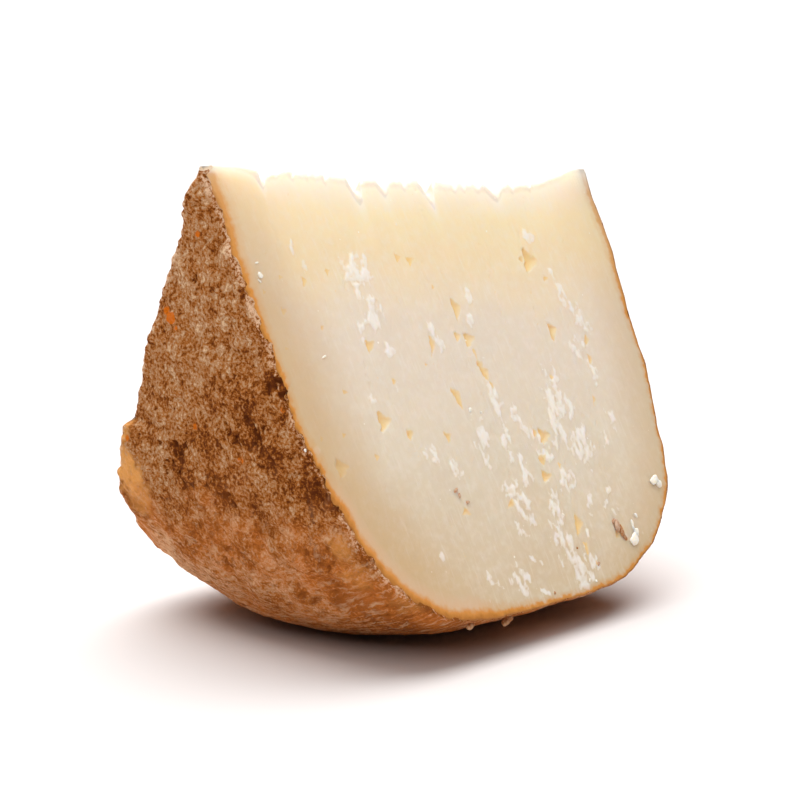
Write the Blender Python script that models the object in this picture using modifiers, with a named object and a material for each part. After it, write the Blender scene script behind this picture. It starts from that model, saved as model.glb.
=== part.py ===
"""A wedge of semi-cured cheese, cut from a small drum-shaped wheel and stood on its rim with the thin
cut edge up. One solid: a turned wheel with a craggy rind, cut by two wavy knife cuts that meet in a
crumbled ridge, with the largest eyes of the paste opened on the cuts and a small flat to rest on.
The wheel's axis runs along X, the cut that shows best faces -Y, and Z is up. Metres."""

from math import cos, pi, radians, sin

import bmesh
import bpy
import numpy as np
from mathutils import Matrix, Vector

# The wheel: |x / WHEEL_HALF| ** FACE_POWER + (r / WHEEL_RADIUS) ** RIM_POWER = 1
WHEEL_HALF = 0.0453
WHEEL_RADIUS = 0.0749
FACE_POWER = 4.0
RIM_POWER = 3.46
# The rim is flattened by this much where the wedge rests
REST_FLAT = 0.0005
# The axis is set back so that the origin lies under the middle of the wedge
AXIS = Vector((0.0, -0.0017, WHEEL_RADIUS - REST_FLAT))

# Each cut leans from the vertical, turns a little off the axis, and passes it by an offset
FRONT_LEAN, FRONT_SKEW, FRONT_OFFSET = radians(25.2), radians(1.7), -0.0015
BACK_LEAN, BACK_SKEW, BACK_OFFSET = radians(26.7), radians(2.3), 0.0003
KNIFE_WAVE = 0.00025
KNIFE_WAVE_LENGTH = 0.031
KNIFE_FACET = 0.005

# The ridge has crumbled away by RIDGE_CRUMBLE in its middle, and by a little at the rind
RIDGE_CRUMBLE = 0.0022
RIDGE_END_CRUMBLE = 0.0006
CRUMBLE_STARTS = (-0.0360, -0.0280)
CRUMBLE_ENDS = (0.0260, 0.0420)
RIDGE_STEP = 0.0007
CRUMBS_WIDTH, CRUMBS_HEIGHT = 0.024, 0.02
# (place along X, half width, depth) of the nicks in the ridge
RIDGE_NICKS = (
    (-0.0335, 0.0016, 0.0014),
    (-0.0142, 0.0015, 0.0014),
    (-0.0098, 0.0013, 0.0013),
    (0.0017, 0.0016, 0.0018),
    (0.0178, 0.0015, 0.0010),
)

# Open eyes on the front cut: (place along X, way down from the ridge, length, width, depth)
FRONT_EYES = (
    (0.0226, 0.0151, 0.0042, 0.0034, 0.0018),
    (0.0000, 0.0239, 0.0046, 0.0019, 0.0018),
    (0.0004, 0.0294, 0.0024, 0.0022, 0.0014),
    (0.0021, 0.0345, 0.0042, 0.0016, 0.0014),
    (0.0220, 0.0282, 0.0038, 0.0017, 0.0015),
    (0.0300, 0.0319, 0.0036, 0.0015, 0.0014),
    (-0.0250, 0.0422, 0.0032, 0.0020, 0.0018),
    (-0.0369, 0.0487, 0.0030, 0.0017, 0.0014),
    (0.0119, 0.0460, 0.0040, 0.0024, 0.0019),
    (0.0079, 0.0530, 0.0026, 0.0020, 0.0012),
)
# Those on the back cut are spread over it, from one way down from the ridge to another
BACK_EYES = 9
BACK_EYES_REACH = 0.033
BACK_EYES_DOWN = (0.018, 0.055)
BACK_EYES_LENGTH = (0.0022, 0.0044)
EYE_SEGMENTS, EYE_RINGS = 10, 6

# Rind relief: (size of a bump, height on the flat faces, height on the rim)
CRAGS = ((0.0090, 0.00070, 0.00035), (0.0045, 0.00050, 0.00020))
RIND_FACET = 0.00195
PROFILE_POINTS = 64
TURN_STEPS = 96
# The relief fades out round the flat that carries the wedge
REST_CALM = 0.016
# A scrap of rind has broken off the back edge of the left face: way down, depth and size
CHIP_DOWN = 0.0455
CHIP_SIZE = (0.0042, 0.0050, 0.0034)

CHEESE_COLOUR = (0.83, 0.69, 0.50, 1.0)
# Cutting blocks are this wide, more than the wheel
BLOCK = 0.2


def clear_scene():
    for obj in list(bpy.data.objects):
        bpy.data.objects.remove(obj, do_unlink=True)


def new_collection(name):
    collection = bpy.data.collections.new(name)
    bpy.context.scene.collection.children.link(collection)
    return collection


def cheese_material():
    """A plain waxy food material."""
    material = bpy.data.materials.new("cheese")
    material.use_nodes = True
    shader = material.node_tree.nodes["Principled BSDF"]
    shader.inputs["Base Color"].default_value = CHEESE_COLOUR
    shader.inputs["Roughness"].default_value = 0.5
    material.diffuse_color = CHEESE_COLOUR
    return material


def gradient_noise(points, size, seed):
    """Smooth noise of about -1 to 1 in space, whose bumps are about size across: random slopes on
    a cubic lattice, blended between its corners."""
    slopes = np.random.default_rng(seed).normal(size=(1024, 3))
    slopes /= np.linalg.norm(slopes, axis=1)[:, None]
    scaled = np.asarray(points, float) / size
    corner = np.floor(scaled).astype(np.int64)
    inside = scaled - corner
    fade = inside**3 * (inside * (inside * 6 - 15) + 10)
    total = np.zeros(len(scaled))
    for step in np.ndindex(2, 2, 2):
        cell = corner + np.array(step)
        key = (cell * (73856093, 19349663, 83492791)).sum(axis=1) & 1023
        reach = ((inside - np.array(step)) * slopes[key]).sum(axis=1)
        total += reach * np.where(step, fade, 1 - fade).prod(axis=1)
    return 1.6 * total


def ease(value, low, high):
    """0 up to low, 1 from high, smooth between."""
    share = np.clip((value - low) / (high - low), 0, 1)
    return share * share * (3 - 2 * share)


def cut_normal(lean, skew, side):
    """The outward normal of a cut. side is -1 for the front and 1 for the back."""
    return Vector((sin(skew), side * cos(skew) * cos(lean), cos(skew) * sin(lean)))


FRONT_NORMAL = cut_normal(FRONT_LEAN, FRONT_SKEW, -1)
BACK_NORMAL = cut_normal(BACK_LEAN, BACK_SKEW, 1)


def ridge(x):
    """The point at x of the sharp line in which the two cuts would meet."""
    front = FRONT_NORMAL.dot(AXIS) + FRONT_OFFSET - FRONT_NORMAL.x * x
    back = BACK_NORMAL.dot(AXIS) + BACK_OFFSET - BACK_NORMAL.x * x
    across = Matrix(((FRONT_NORMAL.y, FRONT_NORMAL.z), (BACK_NORMAL.y, BACK_NORMAL.z)))
    y, z = across.inverted() @ Vector((front, back))
    return Vector((x, y, z))


def on_cut(x, down, side):
    """The point of a cut at x that lies this far down from the ridge."""
    lean = FRONT_LEAN if side < 0 else BACK_LEAN
    return ridge(x) + down * Vector((0, side * sin(lean), -cos(lean)))


def crumble(x):
    """How far the ridge has crumbled below its sharp line at x, nicks included."""
    depth = RIDGE_CRUMBLE * ease(x, *CRUMBLE_STARTS) * (1 - ease(x, *CRUMBLE_ENDS))
    for place, half_width, nick in RIDGE_NICKS:
        depth += nick * max(0.0, 1 - abs(x - place) / half_width)
    return max(RIDGE_END_CRUMBLE, depth)


def turned_wheel():
    """The whole wheel: its outline from the axis over the rim and back, turned about the axis."""
    angles = np.linspace(0, pi, PROFILE_POINTS)
    across = WHEEL_HALF * np.sign(np.cos(angles)) * np.abs(np.cos(angles)) ** (2 / FACE_POWER)
    out = WHEEL_RADIUS * np.sin(angles) ** (2 / RIM_POWER)
    out[0] = out[-1] = 0
    mesh = bpy.data.meshes.new("wheel_outline")
    outline = np.stack([out, np.zeros(PROFILE_POINTS), across], axis=1)
    mesh.from_pydata(outline.tolist(), [(i, i + 1) for i in range(PROFILE_POINTS - 1)], [])
    wheel = bpy.data.objects.new("wheel_outline", mesh)
    wheel.rotation_euler = (0, pi / 2, 0)
    wheel.location = AXIS
    screw = wheel.modifiers.new("turn", "SCREW")
    screw.steps = screw.render_steps = TURN_STEPS
    screw.use_merge_vertices = True
    screw.merge_threshold = 0.00005
    even = wheel.modifiers.new("even_facets", "REMESH")
    even.mode = "VOXEL"
    even.voxel_size = RIND_FACET
    return wheel


def evaluated_copy(obj, name):
    """The object's mesh with its modifiers and its place applied, as a new object. The old one goes."""
    bpy.context.scene.collection.objects.link(obj)
    bpy.context.view_layer.update()
    graph = bpy.context.evaluated_depsgraph_get()
    mesh = bpy.data.meshes.new_from_object(obj.evaluated_get(graph))
    mesh.transform(obj.matrix_world)
    mesh.name = name
    bpy.data.objects.remove(obj, do_unlink=True)
    return bpy.data.objects.new(name, mesh)


def roughen_rind(obj):
    """Moves the rind in and out: crags on the mouldy faces, gentler swells on the rim."""
    mesh = obj.data
    points = np.empty(len(mesh.vertices) * 3)
    mesh.vertices.foreach_get("co", points)
    points = points.reshape(-1, 3)
    normals = np.empty(len(mesh.vertices) * 3)
    mesh.vertex_normals.foreach_get("vector", normals)
    normals = normals.reshape(-1, 3)
    on_rim = 1 - np.abs(normals[:, 0])
    relief = np.zeros(len(points))
    for seed, (size, on_face_height, on_rim_height) in enumerate(CRAGS, start=1):
        height = on_face_height + (on_rim_height - on_face_height) * on_rim
        relief += height * gradient_noise(points, size, seed)
    relief *= ease(np.linalg.norm(points, axis=1), REST_CALM, 2 * REST_CALM)
    points += normals * relief[:, None]
    mesh.vertices.foreach_set("co", points.ravel())
    mesh.update()


def add_cutter(name, mesh, collection):
    cutter = bpy.data.objects.new(name, mesh)
    collection.objects.link(cutter)
    cutter.hide_render = True
    cutter.display_type = "WIRE"
    return cutter


def knife_cut(name, normal, offset, collection):
    """A thick slab outside one cut. Its inner side is the cut, with the low waves a knife leaves."""
    shape = bmesh.new()
    facets = int(BLOCK / KNIFE_FACET)
    bmesh.ops.create_grid(shape, x_segments=facets, y_segments=facets, size=BLOCK / 2)
    for vert in shape.verts:
        across, along = (2 * pi * place / KNIFE_WAVE_LENGTH for place in vert.co.xy)
        vert.co.z = KNIFE_WAVE * sin(across) * cos(0.6 * along)
    bottom = bmesh.ops.extrude_face_region(shape, geom=list(shape.faces))
    raised = [item for item in bottom["geom"] if isinstance(item, bmesh.types.BMVert)]
    for vert in raised:
        vert.co.z = BLOCK / 2
    bmesh.ops.recalc_face_normals(shape, faces=list(shape.faces))
    turn = normal.to_track_quat("Z", "Y").to_matrix().to_4x4()
    shape.transform(Matrix.Translation(AXIS + offset * normal) @ turn)
    mesh = bpy.data.meshes.new(name)
    shape.to_mesh(mesh)
    shape.free()
    return add_cutter(name, mesh, collection)


def ridge_crumbs_cut(collection):
    """Everything above the crumbled ridge: an outline in the XZ plane, extruded across the ridge."""
    reach = WHEEL_HALF + 0.006
    edge = [(x, ridge(x).z - crumble(x)) for x in np.arange(-reach, reach, RIDGE_STEP)]
    top = edge[0][1] + CRUMBS_HEIGHT
    corners = [*edge, (edge[-1][0], top), (edge[0][0], top)]
    shape = bmesh.new()
    near = ridge(0).y - CRUMBS_WIDTH / 2
    outline = shape.faces.new([shape.verts.new((x, near, z)) for x, z in corners])
    far = bmesh.ops.extrude_face_region(shape, geom=[outline])
    moved = [item for item in far["geom"] if isinstance(item, bmesh.types.BMVert)]
    bmesh.ops.translate(shape, verts=moved, vec=(0, CRUMBS_WIDTH, 0))
    bmesh.ops.recalc_face_normals(shape, faces=list(shape.faces))
    mesh = bpy.data.meshes.new("ridge_crumbs")
    shape.to_mesh(mesh)
    shape.free()
    return add_cutter("ridge_crumbs", mesh, collection)


def ball_cut(name, centre, size, normal, collection):
    """A ball of the given length, width and depth, its length down the cut, its depth along normal."""
    shape = bmesh.new()
    bmesh.ops.create_uvsphere(shape, u_segments=EYE_SEGMENTS, v_segments=EYE_RINGS, radius=0.5)
    down = Vector((0, 0, -1)) - normal * normal.dot(Vector((0, 0, -1)))
    down.normalize()
    across = down.cross(normal)
    length, width, depth = size
    turn = Matrix((across * width, down * length, normal * depth)).transposed().to_4x4()
    shape.transform(Matrix.Translation(centre) @ turn)
    mesh = bpy.data.meshes.new(name)
    shape.to_mesh(mesh)
    shape.free()
    return add_cutter(name, mesh, collection)


def open_eyes(collection):
    """The eyes cut open on both cuts: the front ones where they show, the back ones drawn at random."""
    for number, (x, down, length, width, depth) in enumerate(FRONT_EYES):
        centre = on_cut(x, down, -1)
        ball_cut(f"front_eye_{number}", centre, (length, width, 2 * depth), FRONT_NORMAL, collection)
    draw = np.random.default_rng(7)
    columns = np.linspace(-BACK_EYES_REACH, BACK_EYES_REACH, BACK_EYES)
    rows = draw.permutation(np.linspace(*BACK_EYES_DOWN, BACK_EYES))
    for number, (x, down) in enumerate(zip(columns.tolist(), rows.tolist())):
        length = draw.uniform(*BACK_EYES_LENGTH)
        size = (length, 0.55 * length, 0.8 * length)
        ball_cut(f"back_eye_{number}", on_cut(x, down, 1), size, BACK_NORMAL, collection)


def chip_cut(collection):
    """The broken place on the back edge of the left face, just above the turn to the rim."""
    centre = on_cut(-WHEEL_HALF, CHIP_DOWN, 1)
    return ball_cut("chip", centre, CHIP_SIZE, Vector((-1, 0, 0)), collection)


def floor_cut(collection):
    """A block under the floor. It leaves the flat on which the wedge rests."""
    shape = bmesh.new()
    bmesh.ops.create_cube(shape, size=BLOCK)
    shape.transform(Matrix.Translation((0, 0, -BLOCK / 2)))
    mesh = bpy.data.meshes.new("floor_block")
    shape.to_mesh(mesh)
    shape.free()
    return add_cutter("floor_block", mesh, collection)


def cut(obj, cutters, name):
    modifier = obj.modifiers.new(name, "BOOLEAN")
    modifier.operation = "DIFFERENCE"
    modifier.operand_type = "COLLECTION"
    modifier.collection = cutters
    modifier.solver = "EXACT"


def main():
    clear_scene()
    cheese = new_collection("cheese_wedge")
    knives = new_collection("knives")
    details = new_collection("details")
    wedge = evaluated_copy(turned_wheel(), "cheese_wedge")
    roughen_rind(wedge)
    cheese.objects.link(wedge)
    wedge.data.materials.append(cheese_material())
    knife_cut("front_knife", FRONT_NORMAL, FRONT_OFFSET, knives)
    knife_cut("back_knife", BACK_NORMAL, BACK_OFFSET, knives)
    ridge_crumbs_cut(details)
    open_eyes(details)
    chip_cut(details)
    floor_cut(details)
    cut(wedge, knives, "cut_wedge")
    cut(wedge, details, "cut_details")


main()
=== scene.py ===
"""A wedge of semi-cured cheese on its rim: mouldy natural rind, crumbly pale paste, small open eyes.
The frame's one solid is replaced by two fitted surfaces, the paste and the rind, and by the crumbs that
stick to them."""

from functools import partial
from math import cos, pi, radians, sin

import bpy
import numpy as np
from bpy.props import FloatProperty, FloatVectorProperty, PointerProperty
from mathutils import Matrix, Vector


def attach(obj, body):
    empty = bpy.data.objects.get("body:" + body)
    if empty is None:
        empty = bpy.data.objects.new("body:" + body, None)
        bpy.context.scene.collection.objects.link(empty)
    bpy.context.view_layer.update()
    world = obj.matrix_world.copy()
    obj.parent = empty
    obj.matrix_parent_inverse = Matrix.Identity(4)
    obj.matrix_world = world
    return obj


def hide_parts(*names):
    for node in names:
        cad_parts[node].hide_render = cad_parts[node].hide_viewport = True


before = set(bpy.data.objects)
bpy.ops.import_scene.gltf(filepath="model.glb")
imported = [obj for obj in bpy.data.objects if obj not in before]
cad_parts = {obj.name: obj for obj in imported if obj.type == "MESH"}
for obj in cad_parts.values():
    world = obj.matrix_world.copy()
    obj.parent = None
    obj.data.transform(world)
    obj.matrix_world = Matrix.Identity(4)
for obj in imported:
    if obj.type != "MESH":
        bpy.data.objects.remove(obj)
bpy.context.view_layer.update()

bl_info = {
    "name": "Cheese Wedge",
    "version": (1, 0, 0),
    "blender": (4, 5, 0),
    "location": "3D View > Sidebar > Cheese",
    "description": "Builds a wedge of semi-cured cheese with a mouldy rind",
    "category": "Add Mesh",
}

NODE = "cheese_wedge"
# Shapes are worked out in millimetres and put into the meshes in metres
MM = 0.001

# As in the part's source, in millimetres: where the wheel's axis lies along Y, and how far from the
# origin, where the wedge rests, the rind's relief starts
AXIS_Y = -1.7
REST_CALM = 16.0
# The rind's crags: (size, height on the faces, height on the rim). The source has them higher on the rim
RIND_CRAGS = ((9.0, 0.70, 0.30), (4.5, 0.50, 0.09))

# Grid sizes: columns along the ridge, rows down the front cut, over the ridge and down the back cut
PASTE_COLUMNS = 281
FRONT_ROWS = 228
RIDGE_ROWS = 8
BACK_ROWS = 84
# Points along the rind from one end of the ridge to the other, and from cut to cut
RIND_ALONG = 571
RIND_ACROSS = 152
# The hidden sides of both pieces are coarse
HIDDEN_ALONG = 150
HIDDEN_ACROSS = 24
# The hidden sides of the paste and of the rind lie this deep, and this far back from both cuts
PASTE_INSET = 1.4
RIND_THICKNESS = 2.1
HIDDEN_STEP_BACK = 0.6
# How the points of an outline are shared out between its left or right side and its lower side
SIDE_WEIGHT, LOW_WEIGHT = 75.0, 90.0
# The even part of the paste's grid fills this share of the outline. Towards the border it gives way to
# rays to the wheel, and they take on the rind's relief, with these powers of the share of the way out
EVEN_SHARE = 0.93
RAY_POWER, RELIEF_POWER = 3, 9
# How quickly the rows forget the ridge's rounding
RIDGE_FADE = 8
# How far from the ridge's middle its two edges count as lying, and how far its nicks run aside for each
# millimetre towards the back
RIDGE_ASIDE = 1.3
NICK_SLANT = 1.1
# How high the right end of the ridge is lifted, between which two X the lift grows, and how far down it
# reaches
TIP_LIFT = 1.0
TIP_FROM, TIP_FULL, TIP_REACH = 29, 43, 9

# How far the ridge lies below the line where the two cuts would meet: (place along X, drop)
RIDGE_DROP = (
    (-47, 0.55), (-43, 0.4), (-38, 0.45), (-36, 0.7), (-33.5, 1.3), (-31.5, 1.5), (-28, 0.95), (-24, 1.1),
    (-20, 1.35), (-16, 1.6), (-10, 1.9), (-6, 2.1), (0, 1.9), (5, 2.1), (9, 2.2), (16, 2.2), (21, 2.3),
    (27, 2.1), (31, 1.9), (35, 1.6), (39, 1.1), (43, 0.4), (45, 0.2), (47, 0.4),
)
# Nicks in the ridge: (place along X, half width, depth)
RIDGE_NICKS = (
    (-33.4, 1.1, 1.3), (-13.2, 1.6, 2.3), (-12.2, 1.0, 0.9), (-6.6, 1.4, 1.1), (4.2, 1.3, 2.6),
    (2.8, 1.0, 0.8), (20.6, 2.2, 1.2), (16.4, 0.9, 0.4), (-19.5, 0.6, 0.5), (10.6, 0.7, 0.4),
    (-26.4, 0.6, 0.5), (-1.6, 0.7, 0.5), (13.0, 0.5, 0.3), (25.4, 0.6, 0.4), (30.3, 0.5, 0.35),
    (-23.2, 0.5, 0.35),
)

# Open eyes on the front cut: (place along X, way down from the ridge, length, width, lean, depth), and
# the share of that depth that is cut. lean turns the lower end towards +X, in degrees
EYE_DEPTH_SHARE = 0.5
FRONT_EYES = (
    (1.9, 35.4, 2.8, 1.6, 20, 0.70), (1.2, 34.0, 2.0, 1.4, 24, 0.70), (-6.8, 39.2, 4.3, 1.4, 19, 0.60),
    (-12.2, 45.4, 2.1, 1.2, 13, 0.50), (8.9, 46.1, 1.9, 0.8, -6, 0.40), (11.0, 46.8, 3.3, 2.2, -2, 0.90),
    (8.7, 50.5, 2.0, 1.6, 26, 0.40), (8.2, 53.5, 2.1, 1.8, -8, 0.80), (12.4, 51.8, 1.4, 0.8, 3, 0.30),
    (-2.7, 57.3, 3.0, 0.9, -47, 0.60), (-13.7, 57.8, 2.0, 1.4, -38, 0.60), (11.9, 62.2, 4.2, 1.6, -15, 0.90),
    (11.9, 66.0, 2.8, 1.0, 8, 0.50), (21.6, 63.8, 3.9, 2.0, -14, 0.90), (27.0, 41.3, 2.2, 0.6, -15, 0.40),
    (17.9, 36.8, 1.6, 0.8, -10, 0.50), (-38.8, 23.8, 1.8, 0.9, -4, 0.70), (-32.5, 19.2, 2.3, 1.0, -9, 0.35),
    (-37.3, 18.4, 1.2, 0.8, -14, 0.30), (-26.7, 17.6, 1.3, 1.0, 12, 0.30), (-9.8, 15.4, 1.7, 1.2, 5, 0.35),
    (-7.1, 15.9, 1.6, 1.8, 17, 0.35), (-41.6, 20.6, 1.0, 0.6, -12, 0.40), (-31.8, 26.5, 1.0, 0.8, 12, 0.40),
    (-22.6, 29.8, 2.2, 1.8, 10, 0.45), (-40.9, 29.6, 0.8, 0.6, -10, 0.40), (-31.5, 37.0, 1.1, 1.0, -4, 0.40),
    (-20.1, 35.8, 1.2, 0.8, 7, 0.40), (-25.1, 42.1, 3.7, 2.4, -6, 1.00), (-20.5, 44.5, 1.7, 1.4, 12, 0.60),
    (-34.8, 43.7, 1.1, 1.0, 7, 0.35), (-39.8, 44.0, 1.4, 0.6, -8, 0.40), (-29.3, 47.6, 1.4, 0.8, 0, 0.50),
    (-37.5, 48.9, 3.6, 2.2, -5, 1.00), (-11.7, 33.4, 1.0, 0.6, 0, 0.40), (22.6, 16.4, 4.8, 2.8, -12, 1.00),
    (20.5, 15.9, 1.5, 1.1, 35, 0.60), (0.0, 24.4, 4.3, 1.6, -2, 0.90), (-1.9, 29.1, 1.9, 1.2, 9, 0.70),
    (0.6, 29.6, 2.6, 2.2, 0, 0.80), (0.9, 32.1, 3.1, 0.6, 4, 0.50), (2.4, 37.4, 2.1, 0.6, 6, 0.40),
    (22.2, 28.9, 3.8, 1.6, 3, 1.00), (30.5, 30.7, 2.5, 0.9, -22, 0.70), (29.7, 34.1, 2.9, 0.8, 2, 0.60),
    (-8.8, 30.3, 4.3, 0.9, -14, 0.60), (25.1, 19.5, 1.5, 1.0, -8, 0.50), (-4.0, 20.5, 0.9, 0.6, -11, 0.30),
    (13.1, 68.8, 1.2, 0.8, -5, 0.40),
)
# The lean of the dragged paste's grain, and the patches where the knife dragged it and left pale flakes:
# (X, down, length, width, lean)
DRAG_LEAN = 3
DRAGGED = (
    (-20.3, 17.7, 5.8, 5.3, -5), (-21.9, 21.8, 2.2, 1.4, 2), (-20.1, 24.3, 5.6, 3.3, -9),
    (-33.0, 14.1, 3.3, 0.9, -14), (-31.5, 17.1, 2.1, 1.2, 18), (24.1, 12.1, 2.0, 2.9, 2),
    (16.2, 42.1, 11.4, 4.2, -17), (15.7, 46.8, 2.3, 2.2, 18), (9.0, 48.1, 4.8, 3.4, 18),
    (1.1, 47.9, 3.8, 2.3, 2), (3.1, 52.3, 4.8, 2.1, -1), (12.5, 54.4, 3.4, 3.7, -14),
    (-2.1, 55.3, 2.3, 3.0, 34), (0.1, 57.8, 6.3, 3.5, -13), (7.9, 58.3, 6.0, 2.6, -11),
    (5.8, 64.6, 6.4, 2.6, -1), (8.3, 66.2, 4.9, 3.1, 26), (8.9, 70.0, 7.0, 3.5, -21),
    (12.5, 68.5, 3.2, 2.0, 41), (-12.9, 68.9, 3.1, 1.4, 47), (-6.6, 69.7, 3.1, 3.8, 76),
    (21.7, 57.5, 4.5, 1.0, -37), (22.5, 60.2, 2.4, 1.1, -53), (-2.3, 61.6, 2.2, 2.5, 2),
    (13.3, 63.6, 1.8, 0.8, -28), (29.9, 44.7, 4.0, 1.7, 19), (19.5, 49.1, 6.9, 4.1, -27),
    (-4.5, 46.4, 7.3, 2.5, -10), (-22.2, 64.3, 1.4, 1.3, -26), (30.2, 26.3, 6.4, 2.6, 22),
    (26.6, 31.8, 2.7, 3.4, 27), (27.6, 21.9, 5.7, 1.7, 10), (-19.2, 30.6, 2.0, 1.9, -12),
    (-26.5, 38.2, 1.6, 1.4, -12), (-20.0, 36.9, 1.6, 1.4, 34), (-41.6, 45.7, 1.2, 1.3, 18),
    (29.3, 36.4, 3.5, 1.7, -7), (2.8, 26.3, 2.3, 2.1, 2), (-7.9, 27.3, 2.4, 1.5, -13),
    (4.3, 22.2, 3.4, 1.6, -6), (-38.7, 62.1, 2.7, 1.1, 25), (-6.9, 30.2, 2.5, 1.3, 2),
    (1.8, 40.0, 8.0, 2.1, 5), (6.2, 43.6, 4.8, 2.1, 10), (-13.1, 50.8, 2.6, 1.9, -13),
    (26.0, 48.3, 2.7, 1.7, -7), (-1.8, 72.0, 2.9, 0.8, 68), (-17.6, 48.0, 2.8, 2.2, -25),
    (19.1, 42.6, 4.6, 2.1, -14), (-1.6, 66.7, 2.3, 0.9, 59), (-23.9, 27.2, 3.2, 1.2, -5),
    (16.4, 59.0, 2.8, 1.3, -17),
)
# Eyes and dragged patches on the back cut, drawn at random between these lows and highs
BACK_EYES = 30
BACK_EYES_LOW, BACK_EYES_HIGH = (-36, 12, 1.4, 0.7, -30, 0.4), (36, 62, 4.2, 2.0, 30, 1.0)
BACK_DRAGS_LOW, BACK_DRAGS_HIGH = (-30, 18, 5, 2, 0), (30, 64, 12, 5, 25)

# Crumbs that stick to the front cut: (X, down, length, width, thickness, lean, kind)
PALE, TAN, BROWN = 0.0, 0.85, 1.0
FRONT_CRUMBS = (
    (35.3, 56.2, 2.1, 1.6, 0.8, 70, PALE), (36.1, 56.9, 1.4, 1.2, 0.7, -20, PALE),
    (24.4, 65.8, 2.6, 1.9, 1.0, 50, PALE), (25.6, 64.7, 1.6, 1.0, 0.8, 10, PALE),
    (25.4, 63.4, 2.0, 0.7, 0.5, 5, PALE), (27.2, 61.8, 0.9, 0.6, 0.4, -30, PALE),
    (21.2, 63.0, 2.4, 1.1, 0.8, 12, 0.75), (22.0, 64.0, 2.3, 0.9, 0.7, 2, BROWN),
    (22.3, 65.2, 1.2, 0.8, 0.6, -30, BROWN), (20.9, 62.2, 1.1, 0.6, 0.5, 60, TAN),
    (-14.6, 54.1, 1.1, 0.6, 0.4, 50, TAN), (-14.1, 54.9, 0.8, 0.5, 0.35, 30, TAN),
    (-12.8, 56.2, 0.8, 0.5, 0.35, 70, TAN), (13.4, 68.9, 0.7, 0.6, 0.4, 20, TAN),
    (0.4, 72.4, 0.5, 0.4, 0.3, 10, BROWN), (9.5, 65.8, 0.4, 0.35, 0.25, 0, BROWN),
    (-41.4, 17.9, 1.0, 0.9, 0.4, -30, PALE), (-41.9, 18.9, 0.7, 0.3, 0.25, -40, PALE),
    (-41.4, 16.0, 0.8, 0.3, 0.25, 80, PALE), (-5.0, 41.3, 0.8, 0.7, 0.45, 40, PALE),
    (-33.6, 31.2, 1.0, 0.35, 0.3, 70, PALE), (8.8, 60.1, 0.5, 0.45, 0.3, 0, PALE),
    (-2.6, 41.9, 0.5, 0.4, 0.3, 0, PALE), (9.9, 71.3, 0.6, 0.3, 0.3, 30, PALE),
    (11.4, 71.6, 0.5, 0.4, 0.3, 0, PALE), (-44.0, 45.5, 0.5, 0.4, 0.3, 0, PALE),
)
# Scraps of rind that hang under the rim: (X, Y, Z, length, width, thickness), and their lean
UNDER_SCRAPS = ((-10.6, -30.9, 5.0, 2.6, 1.2, 0.8), (-19.8, -31.4, 6.2, 1.8, 1.0, 0.6))
SCRAP_LEAN = 80
CRUMB_TURNS, CRUMB_RINGS = 20, 11

# The hollow where a scrap broke out of the rind's back edge on the left face: place, size and depth
CHIP = (-43.2, 24.6, 33.6)
CHIP_SIZE = 2.4
CHIP_DEPTH = 2.3
# Above this place the rind's back edge steps in, and below it bulges: place, size, depth of the step, the
# share of it that bulges, and how far over and under the place the step goes
SHELF = (-43.2, 23.5, 34.2)
SHELF_SIZE = 5.0
SHELF_STEP = 3.0
SHELF_BULGE = 0.38
SHELF_EASE = 0.4
# Broad swells (above 0) and dents (below 0) of the rind: (X, Y, Z, size, height)
SWELLS = (
    (-44, 20, 44, 12, -1.5), (-41.5, 25, 26, 5, 0.2), (-36, 32, 12, 12, -0.6), (-45, 2, 73, 5, 1.3),
    (-45, 7, 68, 6.5, -0.2), (-44.2, 15, 48, 4, 0.6), (-45, 11, 62, 4.5, -0.9), (-44.5, 13, 52.5, 4, -0.6),
    (26, -31, 6, 8, -1.2), (38, -29, 9, 8, -0.6), (-44.5, -12, 47, 5, -0.7),
)
# Lighter (above 0) and darker, barer places on the rind: (X, Y, Z, size, amount). The lighter place at
# (-33.2, 20, 10) is painted light on the lower left of the rim, and the darker places low on the rim beside
# the front cut are bare rind with painted shade near the floor
TONES = (
    (-45, 0, 66, 9, 0.3), (-45, 4, 58, 8, 0.4), (-44.5, 6, 52, 8, 0.25), (-44.5, -3, 50, 6, 0.25),
    (-44, -8.6, 36.9, 3.2, -1.0), (-43.5, -13.0, 32.7, 3.0, -0.9), (-43.5, 7.6, 28.5, 3.4, -0.9),
    (-43, -0.7, 27.0, 4.0, -0.8), (-42, -21.4, 28.9, 4.5, -0.9), (-44.5, -6, 44, 5, -0.35),
    (-40.2, 22.5, 18.6, 2.6, -0.9), (-40.5, -17.5, 18.5, 3.6, -0.9), (-36.5, -20, 13.0, 4.5, -1.2),
    # The darker places low on the rim beside the front cut, here and at (-36.5, -20, 13) and (-34.3, -22,
    # 11), are bare rind with painted shade near the floor
    (-33, -25.5, 12.0, 4.5, -1.0), (-24, -28, 7, 8, -1.4), (-12, -31.5, 4, 7, -1.2),
    (-34.3, -22, 11, 5.5, -1.2), (-38.5, -8, 16.0, 5.0, 0.45), (-36, -3, 11.0, 6.0, 0.35),
    # The place at (-33.2, 20, 10) is painted light on the lower left of the rim
    (-31, -9, 7.0, 7.0, 0.35), (-42, 14, 22.0, 6.0, 0.25), (-33.2, 20, 10, 8, 2.0), (-38, -12, 19, 6, 0.4),
    (-33, 8, 8.5, 7, 1.1), (-44.6, 2, 58.5, 2.0, -0.7), (-44, -14, 45, 2.5, -0.8),
)
# Bare waxy places on the rind: (X, Y, Z, size, amount)
WAXY = (
    (-41.5, 24.0, 27.5, 4.8, 1.0), (-40.6, 21.5, 23.5, 4.6, 0.6), (-43.2, 21.8, 33.6, 2.0, 0.7),
    (-36.5, -24.0, 16.0, 3.0, 0.35), (-31.0, -28.5, 12.5, 3.0, 0.3), (-39.6, -22.5, 20.5, 2.4, 0.5),
)
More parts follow.
